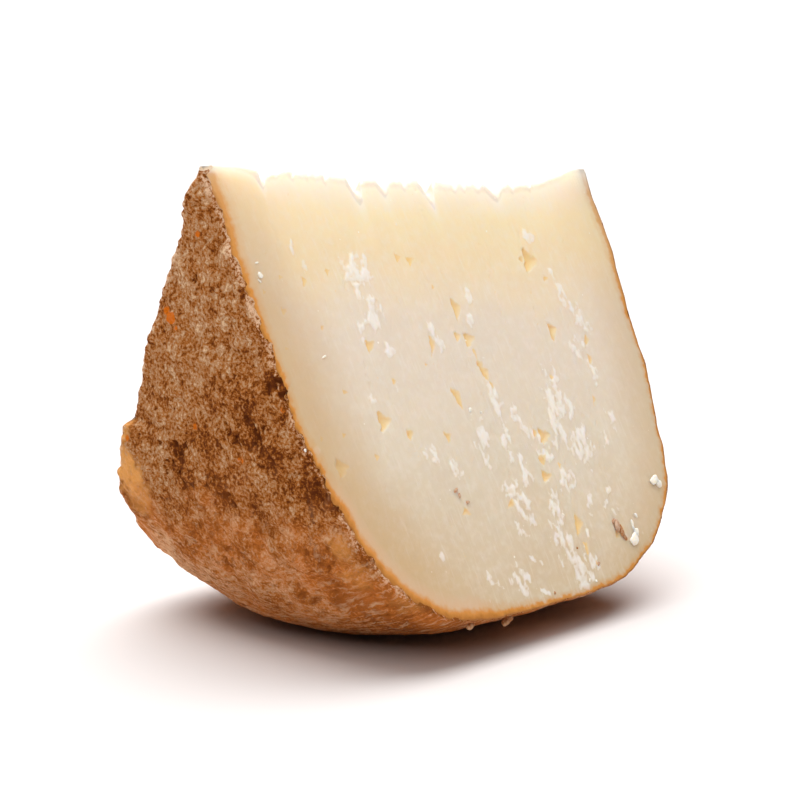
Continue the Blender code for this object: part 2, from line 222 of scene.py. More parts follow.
# Small amber spots on the rind: (X, Y, Z, size, amount)
SPOTS = (
    (-45, 0.9, 66.1, 0.8, 1), (-44.9, 8.0, 52.4, 1.0, 1), (-44.8, 9.2, 53.6, 0.7, 1),
    (-44.6, 7.0, 50.9, 0.7, 0.8), (-44.2, -15.5, 41.0, 0.8, 0.7), (-44.0, 4.0, 36.0, 0.7, 0.7),
    (-43.1, 20.4, 31.8, 0.7, 0.9),
    (-43.5, 11.0, 29.0, 0.8, 0.6), (-42.5, 8.5, 23.5, 0.9, 0.6), (-43.6, -6.0, 32.0, 0.8, 0.6),
)
# Crumbs of mould stand out over the cuts by up to this, are about this large and lie this near a cut
LIP_HEIGHT, LIP_SIZE, LIP_REACH = 0.6, 1.9, 1.4
# The rind starts to be rubbed, and is fully rubbed, below these heights over the floor
RUBBED_FROM, RUBBED_FULL = 31, 15
# The paste starts to lap over the rind, and does so fully, within these distances from the ridge line.
# They are larger on the hidden sheet, which lies deeper
LAPPED, LAPPED_HIDDEN = (1.7, 0.9), (4, 3)
# Near the rind at the left the paste has the colours of paste that lies this much lower
RIND_SHIFT = 9

# The studio, in metres: the floor's half width, the way to the key light, the fill light's place, target
# and size, and the camera's place and target. Its sensor is in millimetres
FLOOR_REACH = 80.0
KEY_FROM = (0.14, 0.25, 0.958)
FILL_PLACE, FILL_TARGET, FILL_SIZE = (-0.6, -0.44, 0.72), (0, 0, 0.03), 0.7
CAMERA_PLACE = (-0.3057, -0.2769, 0.1074)
CAMERA_TARGET = (-0.003284, -0.0017, 0.0355)
SENSOR_WIDTH = 36


def linear(hex_colour):
    """An sRGB hex colour as linear red, green, blue."""
    parts = [int(hex_colour[i:i + 2], 16) / 255 for i in (0, 2, 4)]
    return tuple(c / 12.92 if c <= 0.04045 else ((c + 0.055) / 1.055) ** 2.4 for c in parts)


def length_prop(name, description, default):
    """A length as a setting, its default given in millimetres."""
    return FloatProperty(name=name, description=description, default=default * MM, unit="LENGTH")


def angle_prop(name, description, degrees):
    """An angle as a setting, its default given in degrees."""
    return FloatProperty(name=name, description=description, default=radians(degrees), unit="ROTATION")


def colour_prop(name, description, hex_colour):
    """A colour as a setting, its default given as sRGB hex."""
    return FloatVectorProperty(name=name, description=description, default=linear(hex_colour),
                               subtype="COLOR", min=0, max=1)


class WedgeSettings(bpy.types.PropertyGroup):
    """The wheel that the wedge was cut from, and the two cuts."""

    half_thickness: length_prop("Half thickness", "Half of the wheel's thickness", 45.3)
    radius: length_prop("Radius", "The wheel's radius", 74.9)
    face_power: FloatProperty(name="Face power", description="Higher is flatter on the faces", default=4.0)
    rim_power: FloatProperty(name="Rim power", description="Higher is squarer at the rim", default=3.46)
    rest_flat: length_prop("Rest flat", "How far the rim is flattened where it rests", 0.5)
    front_lean: angle_prop("Front lean", "The front cut's lean from the vertical", 25.2)
    front_skew: angle_prop("Front skew", "The front cut's turn off the wheel's axis", 1.7)
    front_offset: length_prop("Front offset", "How far the front cut passes the axis", -1.5)
    back_lean: angle_prop("Back lean", "The back cut's lean from the vertical", 26.7)
    back_skew: angle_prop("Back skew", "The back cut's turn off the wheel's axis", 2.3)
    back_offset: length_prop("Back offset", "How far the back cut passes the axis", 0.3)


class PasteSettings(bpy.types.PropertyGroup):
    """The look of the cut paste."""

    crest: colour_prop("Crest", "The dry top of the ridge", "E6DACA")
    # Glow, butter and yellow are painted glow: the paste near the ridge is brighter and yellower where light
    # comes through the thin paste
    glow: colour_prop("Glow", "The thin paste beside the ridge", "F9EDDA")
    butter: colour_prop("Butter", "The paste where light still comes through", "F7E3BA")
    yellow: colour_prop("Yellow", "The yellowest paste", "F0DAB3")
    cream: colour_prop("Paste", "The paste in the middle of a cut", "E5D6C3")
    # Lower and deep paste are painted shade: darker towards the bottom of a cut, near the floor
    low: colour_prop("Lower paste", "The paste below the middle", "DFD1BB")
    deep: colour_prop("Deep paste", "The shaded paste low on a cut", "D5C0A1")
    flake: colour_prop("Flakes", "Dragged, dry paste", "F3ECE4")
    # The eyes' yellow is partly moister paste inside them and partly painted glow of the light that comes
    # through the paste
    eye: colour_prop("Eyes", "The inside of an eye", "EFCB86")
    under_rind: colour_prop("Under the rind", "The drier paste under the rind", "CBA878")
    rind_line: colour_prop("Rind line", "The waxy rind where it is cut", "D88A30")
    crust: colour_prop("Crust", "The outermost, darkest part of the cut rind", "B06C2C")
    crystal: colour_prop("Crystals", "Small white specks", "FFF9EF")


class RindSettings(bpy.types.PropertyGroup):
    """The look of the rind."""

    # Pits are darker than the bare skin: painted shade at the bottoms of pits and creases
    pit: colour_prop("Pits", "The bottom of the pits", "4E1600")
    bare: colour_prop("Bare rind", "Dark rind without mould", "7A3C08")
    brown: colour_prop("Brown rind", "Rind under thin mould", "A8662F")
    mould: colour_prop("Mould", "Dry tan mould", "B28054")
    dry_mould: colour_prop("Dry mould", "Grey-tan mould", "BE946F")
    tips: colour_prop("Mould tips", "The pale tips of the mould", "DDBA94")
    rim: colour_prop("Rim", "The rubbed rim", "DC7E36")
    waxy: colour_prop("Waxy rind", "Broad bare waxy places", "F2AC5C")
    lip: colour_prop("Lip", "Pale mould along the cuts", "EBC5A4")
    amber: colour_prop("Amber", "Small bare waxy spots", "D2690A")
    lapped: colour_prop("Lapped paste", "The paste that laps over the rind at the ridge", "F0D6B8")


class StudioSettings(bpy.types.PropertyGroup):
    """Floor, lights and camera."""

    floor: colour_prop("Floor", "The pale floor", "DDD8D6")
    lens: FloatProperty(name="Lens", description="Focal length in mm on a 36 mm sensor", default=114.3)
    surround: FloatProperty(name="Surround", description="Strength of the white surround", default=0.06)
    key_power: FloatProperty(name="Key light", description="Strength of the soft light above", default=4.9)
    key_softness: angle_prop("Key softness", "How wide the key light is, seen from the wedge", 78)
    fill_power: FloatProperty(name="Fill light", description="Power of the light at the left", default=4.0)


def wedge():
    """The wedge's sizes in millimetres, as plain numbers and unit vectors."""
    s = bpy.context.scene.cheese_wedge
    sizes = {key: getattr(s, key) / MM for key in ("half_thickness", "radius", "rest_flat")}
    sizes["face_power"], sizes["rim_power"] = s.face_power, s.rim_power
    sizes["axis"] = np.array((0.0, AXIS_Y, sizes["radius"] - sizes["rest_flat"]))
    sizes["leans"] = (s.front_lean, s.back_lean)
    normals = []
    for side, lean, skew in ((-1, s.front_lean, s.front_skew), (1, s.back_lean, s.back_skew)):
        normals.append((sin(skew), side * cos(skew) * cos(lean), cos(skew) * sin(lean)))
    sizes["normals"] = np.array(normals)
    offsets = sizes["normals"] @ sizes["axis"] + np.array((s.front_offset, s.back_offset)) / MM
    sizes["offsets"] = offsets
    start = np.linalg.solve(sizes["normals"][:, 1:], offsets)
    slope = np.linalg.solve(sizes["normals"][:, 1:], -sizes["normals"][:, 0])
    sizes["ridge_start"] = np.array((0.0, *start))
    sizes["ridge_slope"] = np.array((1.0, *slope))
    return sizes


def gradient_noise(points, size, seed):
    """Smooth noise of about -1 to 1 whose bumps are about size across: random slopes on a cubic
    lattice, blended between its corners. size may be one number or one for each axis."""
    slopes = np.random.default_rng(seed).normal(size=(1024, 3))
    slopes /= np.linalg.norm(slopes, axis=1)[:, None]
    scaled = points.reshape(-1, 3) / size
    corner = np.floor(scaled).astype(np.int64)
    inside = scaled - corner
    fade = inside**3 * (inside * (inside * 6 - 15) + 10)
    total = np.zeros(len(scaled))
    for step in np.ndindex(2, 2, 2):
        cell = corner + np.array(step)
        key = (cell * (73856093, 19349663, 83492791)).sum(axis=1) & 1023
        reach = ((inside - np.array(step)) * slopes[key]).sum(axis=1)
        total += reach * np.where(step, fade, 1 - fade).prod(axis=1)
    return 1.6 * total.reshape(points.shape[:-1])


def cell_noise(points, size, seed):
    """Distance to the nearest of one random point per cube of the lattice, in cube sides."""
    table = np.random.default_rng(seed).random((4096, 3))
    scaled = points.reshape(-1, 3) / size
    corner = np.floor(scaled).astype(np.int64)
    nearest = np.full(len(scaled), 9.0)
    for step in np.ndindex(3, 3, 3):
        cell = corner + np.array(step) - 1
        key = (cell * (73856093, 19349663, 83492791)).sum(axis=1) & 4095
        gap = scaled - cell - table[key]
        nearest = np.minimum(nearest, (gap * gap).sum(axis=1))
    return np.sqrt(nearest).reshape(points.shape[:-1])


def ease(value, low, high):
    """0 up to low, 1 from high, smooth between. low may be above high."""
    share = np.clip((value - low) / (high - low), 0, 1)
    return share * share * (3 - 2 * share)


def turned(across, along, lean):
    """The same way measured on axes that are turned by lean degrees."""
    c, s = cos(radians(lean)), sin(radians(lean))
    return across * c - along * s, along * c + across * s


def ridge_line(sizes, x):
    """The point of the sharp ridge at x: its point at the middle, and x times its slope."""
    return sizes["ridge_start"] + x[..., None] * sizes["ridge_slope"]


def down_direction(angle):
    """The way down in the half plane through the ridge that makes this angle with the vertical."""
    return np.stack([np.zeros_like(angle), np.sin(angle), -np.cos(angle)], axis=-1)


def ridge_drop(x, aside):
    """How far the crumbled ridge lies below the sharp line at x, nicks and small crumbs included. The
    nicks run slantwise over the ridge: aside is the way from the middle of the ridge to the back."""
    x = x - NICK_SLANT * aside
    places, drops = np.array(RIDGE_DROP).T
    drop = np.interp(x, places, drops)
    for place, half_width, depth in RIDGE_NICKS:
        drop = drop + depth * np.clip(1 - np.abs(x - place) / half_width, 0, 1) ** 0.8
    spots = np.stack([x, np.zeros_like(x), np.zeros_like(x)], axis=-1)
    crumbs = 0.16 * gradient_noise(spots + 0.31, 2.3, 41) + 0.10 * gradient_noise(spots + 0.17, 0.9, 42)
    return np.maximum(0.25, drop + crumbs * ease(drop, 0.4, 1.2))


def rounding(sizes, x, angle):
    """Distance from the sharp ridge line to the rounded ridge, in the half plane at this angle. The
    rounding is the circle that touches both cuts and whose top lies ridge_drop below the line."""
    front, back = sizes["leans"]
    half = (front + back) / 2
    radius = ridge_drop(x, RIDGE_ASIDE * np.sin(angle) / sin(half)) * sin(half) / (1 - sin(half))
    centre = radius / sin(half)
    turn = angle - (back - front) / 2
    inside = np.maximum(0, radius**2 - (centre * np.sin(turn)) ** 2)
    return centre * np.cos(turn) - np.sqrt(inside)


def lifted(sizes, points):
    """The points, those near the right end of the ridge raised a little, where the wedge has a tip."""
    way = np.linalg.norm((points - ridge_line(sizes, points[..., 0]))[..., 1:], axis=-1)
    points = points.copy()
    points[..., 2] += TIP_LIFT * ease(points[..., 0], TIP_FROM, TIP_FULL) * np.exp(-((way / TIP_REACH) ** 2))
    return points


def wheel_share(sizes, points):
    """The share of the half thickness raised to face_power, plus the share of the radius raised to
    rim_power: 1 on the wheel, less inside it."""
    arm = points[..., 1:] - sizes["axis"][1:]
    out = np.sqrt((arm * arm).sum(axis=-1))
    face = (np.abs(points[..., 0]) / sizes["half_thickness"]) ** sizes["face_power"]
    return face + (out / sizes["radius"]) ** sizes["rim_power"]


def wheel_slope(sizes, points):
    """The slope of wheel_share: it points straight out of the wheel."""
    arm = points[..., 1:] - sizes["axis"][1:]
    out = np.maximum(1e-6, np.sqrt((arm * arm).sum(axis=-1)))
    x = points[..., 0] / sizes["half_thickness"]
    face = np.sign(x) * np.abs(x) ** (sizes["face_power"] - 1) * sizes["face_power"] / sizes["half_thickness"]
    rim = (out / sizes["radius"]) ** (sizes["rim_power"] - 1) * sizes["rim_power"] / sizes["radius"] / out
    return np.concatenate([face[..., None], rim[..., None] * arm], axis=-1)


def wheel_normals(sizes, points):
    """Unit vectors straight out of the wheel."""
    slope = wheel_slope(sizes, points)
    return slope / np.linalg.norm(slope, axis=-1)[..., None]


def section_point(sizes, side, down, angle, share):
    """The point of a half plane at (share of half thickness, share of radius) times side and down."""
    along = ridge_line(sizes, share * side * sizes["half_thickness"])
    return along + (share * down * sizes["radius"])[..., None] * down_direction(angle)


def section_edge(sizes, side, down, angle):
    """Where the ray (side, down) of a half plane leaves the wheel, found by halving."""
    low, high = np.zeros_like(side), np.full_like(side, 1.2)
    for _ in range(34):
        middle = (low + high) / 2
        outside = wheel_share(sizes, section_point(sizes, side, down, angle, middle)) > 1
        high = np.where(outside, middle, high)
        low = np.where(outside, low, middle)
    return section_point(sizes, side, down, angle, low)


def broad_relief(points, normals):
    """The rind's crags, swells, shelf and chip, in millimetres over the smooth wheel."""
    relief = np.zeros(points.shape[:-1])
    for seed, (size, on_face_height, on_rim_height) in enumerate(RIND_CRAGS, start=1):
        height = on_face_height + (on_rim_height - on_face_height) * (1 - np.abs(normals[..., 0]))
        relief += height * gradient_noise(points, size, seed)
    for *place, size, height in SWELLS:
        relief += height * np.exp(-((points - place) ** 2).sum(axis=-1) / size**2)
    near = np.exp(-((points - SHELF) ** 2).sum(axis=-1) / SHELF_SIZE**2)
    above = ease(points[..., 2], SHELF[2] - SHELF_EASE, SHELF[2] + SHELF_EASE)
    relief += SHELF_STEP * near * (SHELF_BULGE - above)
    gap = np.linalg.norm(points - CHIP, axis=-1) / CHIP_SIZE
    relief -= CHIP_DEPTH * ease(gap + 0.25 * gradient_noise(points, 2.3, 11), 1.25, 0.55)
    return relief * ease(np.linalg.norm(points, axis=-1), REST_CALM, 2 * REST_CALM)


def fine_relief(sizes, points, normals):
    """Mould cushions with creases between them, grains, pits and, on the rim, streaks round it, added
    up. All but the streaks is low on the rim and at the right of the front cut's edge, where the knife
    smoothed it."""
    on_rim = ease(1 - np.abs(normals[..., 0]), 0.03, 0.25)
    gap = sizes["offsets"][0] - points @ sizes["normals"][0]
    rough = (1 - 0.7 * on_rim) * (1 - 0.7 * ease(points[..., 0], 5, 30) * ease(gap, 5, 1))
    cushion = 0.2 + 0.8 * ease(gradient_noise(points, 7.5, 15), -0.4, 0.5)
    relief = rough * cushion * (0.85 * np.abs(gradient_noise(points, 2.9, 11)) - 0.22)
    relief += rough * (0.4 * np.abs(gradient_noise(points, 1.45, 12)) - 0.13)
    relief += rough * 0.17 * gradient_noise(points, 0.75, 13)
    relief -= rough * 0.6 * pits(points)
    streak = np.stack([points[..., 0] / 0.6, points[..., 1] / 4.0, points[..., 2] / 4.0], axis=-1)
    relief += on_rim * 0.08 * gradient_noise(streak, 1.0, 14)
    return relief * ease(np.linalg.norm(points, axis=-1), REST_CALM, 2 * REST_CALM)


def patches(points, places):
    """Sum of soft round patches, each with its place, size and amount, with wandering borders."""
    warp = 0.35 * gradient_noise(points, 2.1, 25) + 0.25 * gradient_noise(points, 0.9, 26)
    total = np.zeros(points.shape[:-1])
    for *place, size, amount in places:
        gap = np.linalg.norm(points - place, axis=-1) / size
        total += amount * ease(gap + warp, 1.3, 0.45)
    return total


def pits(points):
    """0 on the rind, 1 at the bottom of a pit: torn little pits, thick where the rind is bare."""
    place = 0.9 * gradient_noise(points, 9.0, 21) - patches(points, TONES)
    warp = 0.5 * gradient_noise(points, 1.1, 22) + 0.3 * gradient_noise(points, 0.55, 27)
    small = ease(cell_noise(points, 1.7, 23) + warp, 0.30, 0.05) * ease(place, 0.05, 0.6)
    large = ease(cell_noise(points, 3.9, 24) + 0.7 * warp, 0.26, 0.04) * ease(place, 0.2, 0.8)
    return np.maximum(small, large)


def rind_points(sizes, side, down, angle, inset=None):
    """Points of the rind at the rays (side, down) of the half planes at these angles, with its relief,
    or of a sheet inset under it that has the broad relief alone. Returns the points, and the wheel's
    normals and points there."""
    base = section_edge(sizes, side, down, angle)
    normals = wheel_normals(sizes, base)
    height = broad_relief(base, normals) + (fine_relief(sizes, base, normals) if inset is None else -inset)
    points = base + normals * height[..., None]
    shift = rounding(sizes, points[..., 0], angle) * (1 - down) ** RIDGE_FADE
    points = lifted(sizes, points + shift[..., None] * down_direction(angle))
    if inset is None:
        points[..., 2] = np.maximum(points[..., 2], 0)
    return points, normals, base


def outline_rays(share):
    """Rays (side, down) that go round three sides of a square as share goes from 0 to 1: down its
    left side, along its lower side and up its right side."""
    whole = 2 * SIDE_WEIGHT + LOW_WEIGHT
    way = share * whole
    down = np.clip(np.minimum(way, whole - way) / SIDE_WEIGHT, 0, 1)
    side = np.clip((way - SIDE_WEIGHT) / LOW_WEIGHT, 0, 1) * 2 - 1
    return side, down


def scoops(x, down, eyes, seed):
    """Torn eyes at (x, down). Each is a wedge-shaped scoop, widest at its upper third: a steep jagged
    side at the left, from which the floor climbs to the right until it meets the cut. Returns the
    depth, the distance inside the nearest eye's edge and the share of the full depth."""
    spots = np.stack([x, down, np.zeros_like(x)], axis=-1)
    jags = [0.36 * gradient_noise(spots, 1.2, seed + i) + 0.22 * gradient_noise(spots, 0.5, seed + i + 1)
            for i in (0, 2)]
    depth, share = np.zeros_like(x), np.zeros_like(x)
    inside = np.full_like(x, -1.0)
    for place, way, length, width, lean, deep in eyes:
        wobble = min(1.0, 0.25 + 0.3 * width)
        across, along = turned(x - place + wobble * jags[0], down - way + wobble * jags[1], lean)
        upper, left = along / length + 0.5, across + width / 2
        # It opens over the upper 31 percent of its length and closes over the lower 59
        reach = 1.25 * width * np.clip(3.2 * upper, 0, 1) * np.clip(1.7 * (1 - upper), 0, 1)
        edge = np.minimum(left, reach - left)
        floor = np.clip(1 - left / np.maximum(reach, 0.05), 0, 1) * ease(edge, -0.12, 0.18)
        depth = np.maximum(depth, EYE_DEPTH_SHARE * deep * floor)
        share = np.maximum(share, floor)
        inside = np.maximum(inside, edge)
    return depth, inside, share


def dragged_paste(x, down, places, seed):
    """How much the knife dragged the paste: above 0 it shows. Noise stretched along the cut, raised
    inside the given places."""
    allowed = np.full_like(x, -0.85)
    for place, way, length, width, lean in places:
        across, along = turned(x - place, down - way, lean)
        major, minor = along / (0.62 * length), across / (0.62 * width)
        allowed = np.maximum(allowed, 0.42 - 0.5 * (major**2 + minor**2))
    u, v = turned(x, down, DRAG_LEAN)
    coarse = gradient_noise(np.stack([u / 1.4, v / 2.6, np.zeros_like(x)], axis=-1), 1.0, seed)
    fine = gradient_noise(np.stack([u / 0.6, v / 0.9, np.ones_like(x)], axis=-1), 1.0, seed + 1)
    return np.clip(0.9 * coarse + 0.75 * fine + allowed - 0.1, -1, 1)


def torn_cut(which, x, way):
    """A cut's relief in millimetres at (x, way down from the ridge): grain in four sizes, less the depth
    of the eyes, plus two low steps where there are flakes. Returns it, the places it was worked out at,
    and what the material reads of eyes and flakes."""
    if which == 0:
        eyes, drags = FRONT_EYES, DRAGGED
    else:
        draw = np.random.default_rng(61)
        eyes = draw.uniform(BACK_EYES_LOW, BACK_EYES_HIGH, (BACK_EYES, 6))
        drags = draw.uniform(BACK_DRAGS_LOW, BACK_DRAGS_HIGH, (BACK_EYES, 5))
    depth, inside, share = scoops(x, way, eyes, 51)
    flake = dragged_paste(x, way, drags, 57)
    spots = np.stack([x, way, np.full_like(way, 7.0 * which)], axis=-1)
    grain = 0.22 * gradient_noise(spots, 19.0, 71) + 0.08 * gradient_noise(spots, 5.0, 72)
    grain += 0.035 * gradient_noise(spots, (0.9, 2.2, 1.0), 73) + 0.022 * gradient_noise(spots, 0.6, 74)
    height = grain - depth + 0.09 * ease(flake, 0, 0.12) + 0.06 * ease(flake, 0.25, 0.4)
    return height, spots, {"eye": inside, "floor": share, "flake": flake}


def paste_zones(sizes, plain, spots, below):
    """What the material reads of a point's place on a cut, in millimetres: how deep it lies under the
    rind (what is left of the wheel's share over its slope), how far below the ridge, and ways along and
    across the knife's stroke. Also 0 to 1 for dry paste, and how much wider the waxy border is."""
    x, way = spots[..., 0], spots[..., 1]
    slope = np.linalg.norm(wheel_slope(sizes, plain), axis=-1)
    skin = (1 - wheel_share(sizes, plain)) / np.maximum(slope, 0.012)
    # The dry zone lies under the wheel's two faces, 20 mm wide at the left and 15 mm at the right. face is
    # half of the wheel's thickness at the point's distance from the axis
    arm = np.linalg.norm((plain - sizes["axis"])[..., 1:], axis=-1) / sizes["radius"]
    face = sizes["half_thickness"] * np.maximum(0, 1 - arm ** sizes["rim_power"]) ** (1 / sizes["face_power"])
    face_gap = face - np.abs(plain[..., 0]) + 1.2 * gradient_noise(spots, 6.0, 75)
    dry = ease(face_gap, 20 - 5 * ease(x, -10, 20), 0.3) * (1 - 0.3 * ease(x, -10, 30)) * ease(below, -1, 6)
    below = below + RIND_SHIFT * ease(face_gap, 15, 2) * ease(x, 0, -25) * ease(below, 0, 3)
    # The waxy border is widest at the lower left and thinnest at the right
    corner = 0.8 * ease(x, -10, -20) * ease(way, 44, 56) - 0.4 * ease(x, -14, 5)
    return {"skin": skin, "down": below, "dry": dry, "corner": corner, "across": x - 0.05 * way,
            "along": way + 0.05 * x}


def cut_sheet(sizes, which, rows):
    """One cut as a grid of rows from the rim up to the ridge. A point is a blend of an even grid in the
    middle and of rays to the wheel at the border, where the rind's relief is added. Returns the points
    and the numbers that the material reads at each."""
    side, down = np.meshgrid(np.linspace(-1, 1, PASTE_COLUMNS), np.linspace(1, 0, rows))
    reach = np.maximum(np.maximum(np.abs(side), down), 1e-9)
    angle = np.full_like(side, (-sizes["leans"][0], sizes["leans"][1])[which])
    base = section_edge(sizes, side / reach, down / reach, angle)
    normals = wheel_normals(sizes, base)
    relief = broad_relief(base, normals) + fine_relief(sizes, base, normals)
    border = base + normals * relief[..., None]
    middle = sizes["ridge_start"]
    even = section_point(sizes, side, down, angle, np.full_like(side, EVEN_SHARE))
    plain = even + (reach**RAY_POWER)[..., None] * (middle + reach[..., None] * (base - middle) - even)
    points = plain + (reach**RELIEF_POWER)[..., None] * (border - base)
    shift = rounding(sizes, points[..., 0], angle) * (1 - down) ** RIDGE_FADE
    points = points + shift[..., None] * down_direction(angle)
    x = points[..., 0]
    way = np.linalg.norm((points - ridge_line(sizes, x))[..., 1:], axis=-1)
    torn, spots, known = torn_cut(which, x, way)
    # The cut's own relief stops at the border, where the rind's begins
    height = (1 - reach**10) * torn
    known.update(paste_zones(sizes, plain, spots, way - shift))
    return lifted(sizes, points + height[..., None] * sizes["normals"][which]), known


def ridge_cap(sizes, x):
    """Rows over the ridge: at each x an arc of the rounding circle from cut to cut, a little rough."""
    front, back = sizes["leans"]
    half = (front + back) / 2
    turns = np.linspace(-(pi / 2 - front), pi / 2 - back, RIDGE_ROWS + 2)[1:-1, None] + 0 * x
    aside = RIDGE_ASIDE * np.sin(turns) / sin(pi / 2 - half)
    radius = ridge_drop(x + 0 * turns, aside) * sin(half) / (1 - sin(half))
    tilt = np.full_like(turns, (back - front) / 2)
    centre = ridge_line(sizes, x) + (radius / sin(half))[..., None] * down_direction(tilt)
    arc = np.stack([0 * turns, np.sin(turns), np.cos(turns)], axis=-1)
    points = centre + radius[..., None] * arc
    rough = 0.12 * gradient_noise(points, 1.6, 81) + 0.07 * gradient_noise(points, 0.7, 82)
    rough *= ease(radius, 0.4, 1.0)
    return lifted(sizes, points + rough[..., None] * arc)


def grid_faces(rows, columns, first=0):
    """Quads of a grid of points, row by row."""
    number = np.arange(rows * columns).reshape(rows, columns) + first
    corners = number[:-1, :-1], number[:-1, 1:], number[1:, 1:], number[1:, :-1]
    return np.stack(corners, axis=-1).reshape(-1, 4)


def band(loop_a, way_a, loop_b, way_b):
    """Triangles between two closed loops of points. Each point has its way round the loop, and the
    band always steps on to the nearer next point, found by sorting both ways together."""
    ids_a, ids_b = np.append(loop_a, loop_a[0]), np.append(loop_b, loop_b[0])
    order = np.argsort(np.concatenate([np.append(way_a[1:], 9.0), np.append(way_b[1:], 9.0)]), kind="stable")
    steps_a = order < len(loop_a)
    at_a = np.cumsum(steps_a)
    at_b = np.cumsum(~steps_a)
    last_a, last_b = at_a - steps_a, at_b - ~steps_a
    return np.stack([ids_a[last_a], ids_b[last_b], np.where(steps_a, ids_a[at_a], ids_b[at_b])], axis=-1)


def way_round(front_share, ends, back_share):
    """Ways round a piece's border: 0 to 1 along the front cut, to 2 over the right end of the ridge,
    to 3 back along the back cut, to 4 over the left end."""
    steps = np.linspace(0, 1, ends + 2)[1:-1]
    return np.concatenate([front_share, 1 + steps, 3 - back_share[::-1], 3 + steps])


def share_of(side, down):
    """The share of outline_rays at the rays of a square's border."""
    whole = 2 * SIDE_WEIGHT + LOW_WEIGHT
    low_way = SIDE_WEIGHT + (side + 1) / 2 * LOW_WEIGHT
    way = np.where(down >= 1, low_way, whole - down * SIDE_WEIGHT)
    return np.where(side <= -1, down * SIDE_WEIGHT, way) / whole


def grid_border(rows, columns, first=0):
    """The points once round the border of a grid, and their ways round it."""
    number = np.arange(rows * columns).reshape(rows, columns) + first
    loop = np.concatenate([number[0], number[1:-1, -1], number[-1, ::-1], number[-2:0:-1, 0]])
    share = np.linspace(0, 1, columns)
    return loop, way_round(share, rows - 2, share)


def close_piece(name, outer, outer_loop, outer_way, hidden, outer_faces):
    """Joins the shown sheet to the hidden one by a band round their borders, as one closed mesh."""
    along, across = HIDDEN_ALONG, HIDDEN_ACROSS
    first = len(outer)
    loop, way = grid_border(across, along, first)
    faces = [outer_faces, grid_faces(across, along, first)[:, ::-1]]
    strip = band(outer_loop, outer_way, loop, way)
    points = np.concatenate([outer, hidden.reshape(-1, 3)])
    return make_mesh(name, points, faces, strip)


def make_mesh(name, points, quads, triangles):
    """A mesh object from points in millimetres, and from quads and triangles that face outwards."""
    quads = np.concatenate(quads)
    corners = np.concatenate([quads.ravel(), triangles.ravel()])
    counts = np.concatenate([np.full(len(quads), 4), np.full(len(triangles), 3)])
    mesh = bpy.data.meshes.new(name)
    mesh.vertices.add(len(points))
    mesh.vertices.foreach_set("co", (points * MM).astype(np.float32).ravel())
    mesh.loops.add(len(corners))
    mesh.loops.foreach_set("vertex_index", corners.astype(np.int32))
    mesh.polygons.add(len(counts))
    mesh.polygons.foreach_set("loop_start", np.concatenate([[0], np.cumsum(counts)[:-1]]).astype(np.int32))
    mesh.update(calc_edges=True)
    mesh.validate()
    mesh.polygons.foreach_set("use_smooth", np.ones(len(mesh.polygons), dtype=bool))
    obj = bpy.data.objects.new(name, mesh)
    bpy.context.scene.collection.objects.link(obj)
    return obj


def add_attribute(obj, name, shown, hidden_value):
    """A number on each point: the given ones on the shown sheet, one value on the hidden one."""
    values = np.zeros(len(obj.data.vertices), dtype=np.float32)
    values[:shown.size], values[shown.size:] = shown.ravel(), hidden_value
    layer = obj.data.attributes.new(name, "FLOAT", "POINT")
    layer.data.foreach_set("value", values)


def add(tree, kind, links=(), stops=(), out=None, **settings):
    """Adds a shader node and returns its output: the one named out, or else its first. A kind in
    capitals is an operation of the Math node. links gives the inputs in order, or by name, as sockets
    or values. stops sets a colour ramp."""
    node = tree.nodes.new("ShaderNode" + ("Math" if kind.isupper() else kind))
    if kind.isupper():
        node.operation = kind
    for key, value in settings.items():
        setattr(node, key, value)
    for key, value in links.items() if isinstance(links, dict) else enumerate(links):
        if isinstance(value, bpy.types.NodeSocket):
            tree.links.new(value, node.inputs[key])
        else:
            node.inputs[key].default_value = value
    if stops:
        elements = node.color_ramp.elements
        while len(elements) < len(stops):
            elements.new(0.5)
        for element, (place, value) in zip(elements, stops):
            element.position = place
            element.color = (*value, 1) if hasattr(value, "__len__") else (value, value, value, 1)
    shown = [socket for socket in node.outputs if socket.enabled]
    return node.outputs[out] if out else shown[0] if shown else None


def new_material(name):
    """An empty material and its way of adding nodes."""
    material = bpy.data.materials.new(name)
    material.use_nodes = True
    material.node_tree.nodes.clear()
    return material, partial(add, material.node_tree)


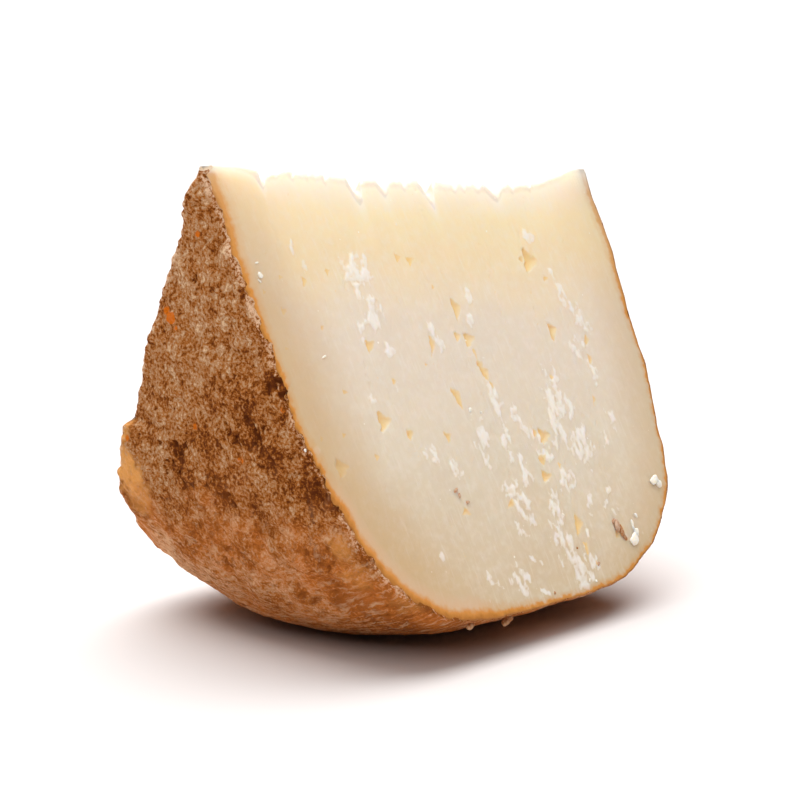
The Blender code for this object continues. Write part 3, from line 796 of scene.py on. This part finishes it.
def paste_material(look):
    """Pressed ewe's milk curd, aged a few months, cut with a knife: a dense, slightly oily, faintly
    translucent paste. Its colour holds painted glow, yellow where it is thin and, over moister paste,
    in its torn eyes, and painted shade, darker low on a cut. It has dry white flakes where the knife
    dragged, and goes tan and then waxy orange in the last millimetres under the rind."""
    material, node = new_material("cut semi-cured cheese paste")

    place = node("TexCoord", out="Object")
    names = ("skin", "down", "eye", "floor", "flake", "dry", "corner", "across", "along")
    known = {name: node("Attribute", out="Fac", attribute_name=name) for name in names}
    skin, down, flake, corner = known["skin"], known["down"], known["flake"], known["corner"]

    # Soft clouds 14 mm across, curd grain 1.3 mm, fine grain 0.35 mm, knife streaks 0.5 by 5 mm, and
    # crystals 2.6 mm apart
    clouds = node("TexNoise", {"Vector": place, "Scale": 1 / 0.014, "Detail": 3.0})
    curd = node("TexNoise", {"Vector": place, "Scale": 1 / 0.0013, "Detail": 4.0})
    fine = node("TexNoise", {"Vector": place, "Scale": 1 / 0.00035, "Detail": 2.0})
    cut_way = node("CombineXYZ", (known["across"], known["along"], 0))
    cut_way = node("Mapping", {"Vector": cut_way, "Scale": (1 / 0.5, 1 / 5.0, 1)})
    streak = node("TexNoise", {"Vector": cut_way, "Scale": 1.0, "Detail": 4.0})
    crystal = node("TexVoronoi", {"Vector": place, "Scale": 1 / 0.0026}, out="Distance")

    # The colour goes with the way down, from 2 mm over the ridge to 70 mm below it, and wanders lower down.
    # The bright yellow band near the ridge is painted glow, the light that comes through the thin paste,
    # and the darker colours low on the cut are painted shade near the floor
    wander = node("MapRange", (clouds, 0.3, 0.7, -0.06, 0.06))
    wander = node("MULTIPLY", (wander, node("MapRange", (down, 2, 25))))
    colour = node("ValToRGB", (node("ADD", (node("MapRange", (down, -2, 70)), wander)),),
                  [(0.0, look.crest), (0.024, look.crest), (0.04, look.glow), (0.125, look.butter),
                   (0.222, look.yellow), (0.42, look.cream), (0.72, look.low), (1.0, look.deep)])
    grain = node("MapRange", (curd, 0.45, 0.75, 0.0, 0.22))
    drawn = node("MapRange", (streak, 0.56, 0.8, 0.0, 0.30))
    # Torn places have crisp edges that the fine grain makes ragged
    torn = node("ADD", (flake, node("MapRange", (fine, 0.3, 0.7, -0.06, 0.06))))
    torn = node("MULTIPLY", (node("MapRange", (torn, 0, 0.05)), node("MapRange", (torn, 0, 0.5, 0.3, 0.8))))
    # Eyes are yellowest at their steep left side: moister paste, with painted glow of the light through it
    hollow = node("ADD", (known["eye"], node("MapRange", (fine, 0.3, 0.7, -0.08, 0.08))))
    hollow = node("MULTIPLY", (node("MapRange", (hollow, -0.02, 0.08, 0.0, 0.95)),
                               node("POWER", (known["floor"], 0.45))))
    speck = node("MapRange", (crystal.node.outputs["Color"], 0.45, 0.9, 0.0, 0.085))
    speck = node("MapRange", (node("SUBTRACT", (speck, crystal)), 0.0, 0.02, 0.0, 0.7))
    # The border follows the rind, but its depth wanders, and it is widest at the lower left
    depth = node("ADD", (skin, node("MapRange", (curd, 0.3, 0.7, -0.35, 0.35))))
    depth = node("DIVIDE", (depth, node("ADD", (corner, 1.0))))
    tan = node("MULTIPLY", (known["dry"], node("MapRange", (down, 12, 32, 0.36, 0.76))))
    pale = node("MapRange", (depth, 2.6, 1.4))
    pale = node("MULTIPLY", (pale, node("MapRange", (corner, 0.3, 1, 0, 0.32))))
    # Near the ridge the orange is weaker and spreads further into the paste
    spread = node("DIVIDE", (depth, node("MapRange", (down, 40, 8, 3.0, 6.0))))
    line = node("ValToRGB", (spread,), [(0.0, 0.95), (0.26, 0.9), (0.42, 0.3), (0.85, 0.0)])
    line = node("MULTIPLY", (line, node("MapRange", (down, 0.0, 4.0))))
    line = node("MULTIPLY", (line, node("MapRange", (down, 5, 25, 0.7, 1.0))))
    crust = node("MULTIPLY", (node("MapRange", (depth, 0.75, 0.25)), node("MapRange", (down, 3, 20))))
    crust = node("MULTIPLY", (crust, node("MapRange", (corner, -0.4, 0.4, 0.2, 0.8))))
    for factor, above in ((grain, look.flake), (drawn, look.flake), (torn, look.flake),
                          (hollow, look.eye), (speck, look.crystal), (tan, look.under_rind),
                          (pale, look.flake), (line, look.rind_line), (crust, look.crust)):
        colour = node("Mix", {"Factor": factor, "A": colour, "B": (*above, 1)}, data_type="RGBA")

    height = node("MULTIPLY_ADD", (fine, 0.35, node("MULTIPLY_ADD", (streak, 0.8, curd))))
    bump = node("Bump", {"Height": height, "Strength": 0.5, "Distance": 0.00014})
    # Light that enters near the rind is soaked up there, so little of it is let in
    inner = node("MapRange", (skin, 0.5, 5.0, 0.15, 0.85))
    shader = node("BsdfPrincipled", {
        "Base Color": colour, "Roughness": node("MapRange", (clouds, 0, 1, 0.42, 0.62)),
        "Normal": bump, "IOR": 1.44, "Specular IOR Level": 0.35, "Subsurface Weight": inner,
        "Subsurface Radius": (1.0, 0.78, 0.52), "Subsurface Scale": 0.003})
    node("OutputMaterial", {"Surface": shader})
    return material


def rind_material(look):
    """Natural rind, brushed and turned for months in a cave: dry grey-tan mould with pale tips on
    brown skin, dark in the creases and pits, where bare skin shows and painted shade darkens their
    bottoms, and amber where it is bare. The rim is rubbed smoother and more orange. Low beside the front
    cut the rind is darker with painted shade, and on the lower left of the rim paler with painted light.
    All of it is dull, apart from the waxy places."""
    material, node = new_material("mouldy natural cheese rind")
    place = node("TexCoord", out="Object")
    names = ("edge", "relief", "pit", "rim", "tone", "wax", "amber", "cream")
    known = {name: node("Attribute", out="Fac", attribute_name=name) for name in names}
    rim = known["rim"]

    # Patches 8 mm across, tufts from 3 mm down to 0.2 mm, clumps 1.1 mm, grains 0.5 mm, and streaks that
    # run 4 mm round the rim and are 0.5 mm wide
    clouds = node("TexNoise", {"Vector": place, "Scale": 1 / 0.008, "Detail": 3.0})
    tufts = node("TexNoise", {"Vector": place, "Scale": 1 / 0.003, "Detail": 5.0, "Roughness": 0.72})
    grains = node("TexNoise", {"Vector": place, "Scale": 1 / 0.0005, "Detail": 2.0, "Roughness": 0.65})
    clump = node("TexVoronoi", {"Vector": place, "Scale": 1 / 0.0011}, out="Distance")
    round_way = node("Mapping", {"Vector": place, "Scale": (1 / 0.0005, 1 / 0.004, 1 / 0.004)})
    streak = node("TexNoise", {"Vector": round_way, "Scale": 1.0, "Detail": 4.0, "Roughness": 0.65})

    # How much mould there is, from bare skin at 0 to pale tips at 1
    cover = node("MapRange", (tufts, 0.22, 0.78))
    cover = node("ADD", (cover, node("MapRange", (grains, 0.3, 0.7, -0.38, 0.38))))
    cover = node("ADD", (cover, node("MapRange", (clouds, 0.3, 0.7, -0.12, 0.1))))
    cover = node("ADD", (cover, node("MapRange", (clump, 0.0, 0.8, 0.12, -0.16))))
    # Relief and pits darken the cover: bare skin shows in the creases and pits, with painted shade at their
    # bottoms. The tone patches hold real lighter and barer places, painted light on the lower left of the rim
    # and painted shade low beside the front cut
    for name, share in (("relief", 0.15), ("tone", 0.26), ("pit", -0.5)):
        cover = node("MULTIPLY_ADD", (known[name], share, cover))
    colour = node("ValToRGB", (cover,), [(0.0, look.pit), (0.2, look.bare), (0.4, look.brown),
                                         (0.58, look.mould), (0.8, look.dry_mould), (1.0, look.tips)])
    # On the rim the mould is rubbed in patches, with dark grooves and pale scratches round it
    rubbed = node("MULTIPLY", (rim, node("MapRange", (clouds, 0.35, 0.65, 0.2, 0.58))))
    grooved = node("MULTIPLY", (rim, node("MapRange", (streak, 0.48, 0.32, 0.0, 0.85))))
    scraped = node("MULTIPLY", (rim, node("MapRange", (streak, 0.52, 0.72, 0.0, 0.7))))
    shiny = node("ADD", (known["wax"], node("MapRange", (cover, 0.2, 0.8, 0.16, -0.3))))
    shiny = node("MapRange", (shiny, 0.1, 1.1, 0.0, 0.75))
    spot = node("ADD", (known["amber"], node("MapRange", (tufts, 0.35, 0.65, -0.5, 0.3))))
    spot = node("MapRange", (spot, 0.35, 0.6, 0.0, 0.9))
    # The last 1.3 mm before a cut turn into a lip of pale crumbs, and the paste laps over the ridge's end
    lip = node("MULTIPLY", (node("MapRange", (known["edge"], 1.3, 0.4, 0.0, 0.8)),
                            node("MapRange", (cover, 0.35, 0.75))))
    lapped = node("ADD", (known["cream"], node("MapRange", (tufts, 0.3, 0.7, -0.3, 0.3))))
    lapped = node("MapRange", (lapped, 0.45, 0.55))
    for factor, above in ((rubbed, look.rim), (grooved, look.bare), (scraped, look.tips),
                          (shiny, look.waxy), (spot, look.amber), (lip, look.lip), (lapped, look.lapped)):
        colour = node("Mix", {"Factor": factor, "A": colour, "B": (*above, 1)}, data_type="RGBA")

    height = node("MULTIPLY_ADD", (tufts, 0.7, node("MULTIPLY_ADD", (clump, -0.5, grains))))
    bump = node("Bump", {"Height": height, "Strength": 1.0, "Distance": 0.0004})
    shader = node("BsdfPrincipled", {
        "Base Color": colour, "Roughness": node("MapRange", (shiny, 0, 0.85, 0.95, 0.5)), "Normal": bump,
        "IOR": 1.42, "Specular IOR Level": 0.1})
    node("OutputMaterial", {"Surface": shader})
    return material


def crumb_material(look, rind_look):
    """Dry crumbs of curd, near white, and scraps of rind: the amount of rind is on each point."""
    material, node = new_material("dry cheese crumbs")
    place = node("TexCoord", out="Object")
    kind = node("Attribute", out="Fac", attribute_name="rind")
    grain = node("TexNoise", {"Vector": place, "Scale": 1 / 0.0005, "Detail": 3.0})
    sharp = node("MapRange", (grain, 0.38, 0.62))
    pale = node("Mix", {"Factor": sharp, "A": (*look.glow, 1), "B": (*look.flake, 1)}, data_type="RGBA")
    brown = node("Mix", {"Factor": sharp, "A": (*rind_look.brown, 1), "B": (*rind_look.dry_mould, 1)},
                 data_type="RGBA")
    colour = node("Mix", {"Factor": kind, "A": pale, "B": brown}, data_type="RGBA")
    bump = node("Bump", {"Height": grain, "Strength": 0.8, "Distance": 0.0003})
    shader = node("BsdfPrincipled", {
        "Base Color": colour, "Roughness": 0.7, "Normal": bump, "Specular IOR Level": 0.3,
        "Subsurface Weight": node("MapRange", (kind, 0, 0.5, 0.6, 0.0)),
        "Subsurface Radius": (1.0, 0.8, 0.6), "Subsurface Scale": 0.0008})
    node("OutputMaterial", {"Surface": shader})
    return material


def hidden_sheet(sizes, inset):
    """The coarse sheet under the rind, a little back from both cuts so that it stays unseen."""
    share, across = np.meshgrid(np.linspace(0, 1, HIDDEN_ALONG), np.linspace(0, 1, HIDDEN_ACROSS))
    side, down = outline_rays(share)
    front, back = sizes["leans"]
    points, _, _ = rind_points(sizes, side, down, -front + across * (front + back), inset)
    for which, near in enumerate((ease(across, 0.15, 0), ease(across, 0.85, 1))):
        points = points - HIDDEN_STEP_BACK * (near * ease(down, 0, 0.04))[..., None] * sizes["normals"][which]
    return points


class CHEESE_OT_paste(bpy.types.Operator):
    """Builds the paste: both cuts and the crumbled ridge, closed under the rind"""

    bl_idname = "cheese.paste"
    bl_label = "Paste"

    def execute(self, context):
        sizes = wedge()
        front, front_known = cut_sheet(sizes, 0, FRONT_ROWS)
        back, back_known = cut_sheet(sizes, 1, BACK_ROWS)
        cap = ridge_cap(sizes, (front[-1, :, 0] + back[-1, :, 0]) / 2)
        sheet = np.concatenate([front, cap, back[::-1]])
        rows = len(sheet)
        number = np.arange(rows * PASTE_COLUMNS).reshape(rows, PASTE_COLUMNS)
        # The border once round: the front cut's three sides, the ridge's right end, the back cut's, its left
        top, below = FRONT_ROWS - 1, FRONT_ROWS + RIDGE_ROWS
        loop = np.concatenate([number[top:0:-1, 0], number[0], number[1:top + 1, -1],
                               number[top + 1:below, -1], number[below:-1, -1], number[-1, ::-1],
                               number[-2:below - 1:-1, 0], number[below - 1:top:-1, 0]])
        columns = np.linspace(-1, 1, PASTE_COLUMNS)
        shares = []
        for row_count in (FRONT_ROWS, BACK_ROWS):
            climb = np.linspace(0, 1, row_count)
            side = np.concatenate([np.full(row_count - 1, -1.0), columns, np.full(row_count - 1, 1.0)])
            down = np.concatenate([climb[:-1], np.ones(PASTE_COLUMNS), climb[-2::-1]])
            shares.append(share_of(side, down))
        way = way_round(shares[0], RIDGE_ROWS, shares[1])
        obj = close_piece("Cheese_Paste", sheet.reshape(-1, 3), loop, way, hidden_sheet(sizes, PASTE_INSET),
                          grid_faces(rows, PASTE_COLUMNS))
        # The rows over the ridge count as lying up to 2 mm over it, where the paste is driest
        skin, zero = sizes["half_thickness"] - np.abs(cap[..., 0]), 0 * cap[..., 0]
        over = zero - 2 * np.sin(np.linspace(0, pi, RIDGE_ROWS + 2))[1:-1, None]
        cap_known = {"skin": skin, "down": over, "eye": zero - 1, "floor": zero, "flake": zero - 1,
                     "dry": 0.25 * ease(skin, 16, 0.3), "corner": zero, "across": cap[..., 0],
                     "along": zero}
        for name in cap_known:
            shown = np.concatenate([front_known[name], cap_known[name], back_known[name][::-1]])
            add_attribute(obj, name, shown, 0)
        obj.data.materials.append(paste_material(context.scene.cheese_paste))
        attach(obj, "root")
        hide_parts(NODE)
        return {"FINISHED"}


class CHEESE_OT_rind(bpy.types.Operator):
    """Builds the rind as a closed shell round the wheel's part of the wedge"""

    bl_idname = "cheese.rind"
    bl_label = "Rind"

    def execute(self, context):
        sizes = wedge()
        share, across = np.meshgrid(np.linspace(0, 1, RIND_ALONG), np.linspace(0, 1, RIND_ACROSS))
        side, down = outline_rays(share)
        front, back = sizes["leans"]
        angle = -front + across * (front + back)
        sheet, normals, base = rind_points(sizes, side, down, angle)
        gaps = np.stack([sizes["offsets"][i] - base @ sizes["normals"][i] for i in (0, 1)])
        # Crumbs of mould stand out over both cuts, mostly at the left
        crumbs = LIP_HEIGHT * np.clip(0.1 + gradient_noise(base, LIP_SIZE, 35), 0, 1)
        for gap, normal in zip(gaps, sizes["normals"]):
            out = crumbs * ease(gap, LIP_REACH, 0) * ease(down, 0, 0.1)
            out *= 0.15 + 0.85 * ease(base[..., 0], -15, -35)
            sheet = sheet + out[..., None] * normal
        hidden = hidden_sheet(sizes, RIND_THICKNESS)
        loop, way = grid_border(RIND_ACROSS, RIND_ALONG)
        obj = close_piece("Cheese_Rind", sheet.reshape(-1, 3), loop, way, hidden,
                          grid_faces(RIND_ACROSS, RIND_ALONG))
        below, below_hidden = (np.linalg.norm((grid - ridge_line(sizes, grid[..., 0]))[..., 1:], axis=-1)
                               for grid in (sheet, hidden))
        # The way to the nearer cut, where the back one counts as half a millimetre further off
        add_attribute(obj, "edge", np.minimum(gaps[0], gaps[1] + 0.5), 0)
        # Relief and pits also darken the rind's colour in creases and pits: bare skin, with painted shade at
        # their bottoms
        add_attribute(obj, "relief", fine_relief(sizes, base, normals), 0)
        add_attribute(obj, "pit", pits(base), 0)
        # The border of the rubbed rim wanders up and down
        height = base[..., 2] + 6 * gradient_noise(base, 12.0, 31) + 4 * gradient_noise(base, 4.0, 32)
        add_attribute(obj, "rim", ease(height, RUBBED_FROM, RUBBED_FULL), 1)
        # The tone patches hold painted light on the lower left of the rim and painted shade low beside the
        # front cut, with real lighter and barer places
        for name, places in (("tone", TONES), ("wax", WAXY), ("amber", SPOTS)):
            add_attribute(obj, name, patches(base, places), 0)
        add_attribute(obj, "cream", ease(below, *LAPPED), ease(below_hidden, *LAPPED_HIDDEN).ravel())
        obj.data.materials.append(rind_material(context.scene.cheese_rind))
        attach(obj, "root")
        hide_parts(NODE)
        return {"FINISHED"}


class CHEESE_OT_crumbs(bpy.types.Operator):
    """Builds the crumbs and scraps that stick to the front cut, as flattened, dented balls"""

    bl_idname = "cheese.crumbs"
    bl_label = "Crumbs"

    def execute(self, context):
        sizes = wedge()
        normal = sizes["normals"][0]
        way_down = down_direction(np.array(-sizes["leans"][0]))
        across = np.cross(way_down, normal)
        turn, rise = np.meshgrid(np.linspace(0, 2 * pi, CRUMB_TURNS, endpoint=False),
                                 np.linspace(-pi / 2, pi / 2, CRUMB_RINGS + 2)[1:-1])
        ball = np.stack([np.cos(rise) * np.cos(turn), np.cos(rise) * np.sin(turn), np.sin(rise)], axis=-1)
        ball = np.concatenate([[(0, 0, -1)], ball.reshape(-1, 3), [(0, 0, 1)]])
        each = len(ball)
        ring = np.arange(CRUMB_TURNS)
        after = (ring + 1) % CRUMB_TURNS
        rows = 1 + np.arange(CRUMB_RINGS - 1)[:, None] * CRUMB_TURNS
        quads = np.stack([rows + ring, rows + after, rows + after + CRUMB_TURNS,
                          rows + ring + CRUMB_TURNS], axis=-1).reshape(-1, 4)
        last = 1 + (CRUMB_RINGS - 1) * CRUMB_TURNS
        caps = np.concatenate([np.stack([0 * ring, 1 + after, 1 + ring], axis=-1),
                               np.stack([0 * ring + each - 1, last + ring, last + after], axis=-1)])
        points, kinds = [], []
        places = []
        for x, down, length, width, thick, lean, kind in FRONT_CRUMBS:
            centre = ridge_line(sizes, np.array(float(x))) + down * way_down + 0.25 * thick * normal
            places.append((centre, length, width, thick, lean, kind))
        places += [(np.array(scrap[:3]), *scrap[3:], SCRAP_LEAN, BROWN) for scrap in UNDER_SCRAPS]
        for centre, length, width, thick, lean, kind in places:
            c, s = cos(radians(lean)), sin(radians(lean))
            long_way, short_way = c * way_down + s * across, c * across - s * way_down
            shape = ball * (length / 2, width / 2, thick / 2)
            spots = centre + shape[:, :1] * long_way + shape[:, 1:2] * short_way + shape[:, 2:] * normal
            dents = 0.45 * gradient_noise(spots, 0.5 * length, 91) + 0.2 * gradient_noise(spots, 0.5, 92)
            points.append(spots + dents[:, None] * (spots - centre))
            kinds.append(np.full(each, kind))
        firsts = np.arange(len(places))[:, None, None] * each
        obj = make_mesh("Cheese_Crumbs", np.concatenate(points), [(quads + firsts).reshape(-1, 4)],
                        (caps + firsts).reshape(-1, 3))
        add_attribute(obj, "rind", np.concatenate(kinds), 0)
        obj.data.materials.append(crumb_material(context.scene.cheese_paste, context.scene.cheese_rind))
        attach(obj, "root")
        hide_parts(NODE)
        return {"FINISHED"}


def add_area(name, power, size, place, target):
    """A soft square light at place, facing target, in metres."""
    light = bpy.data.lights.new(name, "AREA")
    light.energy = power
    light.size = size
    obj = bpy.data.objects.new(name, light)
    obj.location = place
    obj.rotation_euler = (Vector(target) - Vector(place)).to_track_quat("-Z", "Y").to_euler()
    bpy.context.scene.collection.objects.link(obj)


class CHEESE_OT_studio(bpy.types.Operator):
    """Builds the floor, the surround, two soft lights and the camera"""

    bl_idname = "cheese.studio"
    bl_label = "Studio"

    def execute(self, context):
        look = context.scene.cheese_studio
        mesh = bpy.data.meshes.new("Floor")
        sides = ((-1, -1), (1, -1), (1, 1), (-1, 1))
        mesh.from_pydata([(x * FLOOR_REACH, y * FLOOR_REACH, 0) for x, y in sides], [], [(0, 1, 2, 3)])
        floor = bpy.data.objects.new("Floor", mesh)
        context.scene.collection.objects.link(floor)
        material, node = new_material("matt white paper sweep")
        shader = node("BsdfPrincipled", {"Base Color": (*look.floor, 1), "Roughness": 0.9,
                                         "Specular IOR Level": 0.1})
        node("OutputMaterial", {"Surface": shader})
        mesh.materials.append(material)

        world = bpy.data.worlds.new("Surround")
        world.use_nodes = True
        sky = world.node_tree.nodes["Background"]
        sky.inputs["Color"].default_value = (1, 1, 1, 1)
        sky.inputs["Strength"].default_value = look.surround
        context.scene.world = world
        key = bpy.data.lights.new("Key", "SUN")
        key.energy = look.key_power
        key.angle = look.key_softness
        lamp = bpy.data.objects.new("Key", key)
        lamp.rotation_euler = Vector(KEY_FROM).to_track_quat("Z", "Y").to_euler()
        context.scene.collection.objects.link(lamp)
        add_area("Fill", look.fill_power, FILL_SIZE, FILL_PLACE, FILL_TARGET)

        camera = bpy.data.cameras.new("Camera")
        camera.lens = look.lens
        camera.sensor_width = SENSOR_WIDTH
        camera.clip_start = 0.01
        eye = bpy.data.objects.new("Camera", camera)
        eye.location = CAMERA_PLACE
        eye.rotation_euler = (Vector(CAMERA_TARGET) - eye.location).to_track_quat("-Z", "Y").to_euler()
        context.scene.collection.objects.link(eye)
        context.scene.camera = eye
        context.scene.view_settings.view_transform = "Standard"
        return {"FINISHED"}


class CHEESE_PT_panel(bpy.types.Panel):
    """Lists the pieces and their settings"""

    bl_label = "Cheese Wedge"
    bl_space_type = "VIEW_3D"
    bl_region_type = "UI"
    bl_category = "Cheese"

    def draw(self, context):
        for operator in OPERATORS:
            self.layout.operator(operator.bl_idname)
        for name in SETTINGS:
            box = self.layout.box()
            group = getattr(context.scene, name)
            for key in group.bl_rna.properties.keys():
                if key not in {"rna_type", "name"}:
                    box.prop(group, key)


SETTINGS = {"cheese_wedge": WedgeSettings, "cheese_paste": PasteSettings, "cheese_rind": RindSettings,
            "cheese_studio": StudioSettings}
OPERATORS = (CHEESE_OT_paste, CHEESE_OT_rind, CHEESE_OT_crumbs, CHEESE_OT_studio)


def register():
    for cls in (*SETTINGS.values(), *OPERATORS, CHEESE_PT_panel):
        bpy.utils.register_class(cls)
    for name, cls in SETTINGS.items():
        setattr(bpy.types.Scene, name, PointerProperty(type=cls))


def unregister():
    for name in SETTINGS:
        delattr(bpy.types.Scene, name)
    for cls in (CHEESE_PT_panel, *reversed(OPERATORS), *reversed(SETTINGS.values())):
        bpy.utils.unregister_class(cls)


def main():
    """Builds every piece."""
    register()
    bpy.ops.cheese.paste()
    bpy.ops.cheese.rind()
    bpy.ops.cheese.crumbs()
    bpy.ops.cheese.studio()


if __name__ == "__main__":
    main()
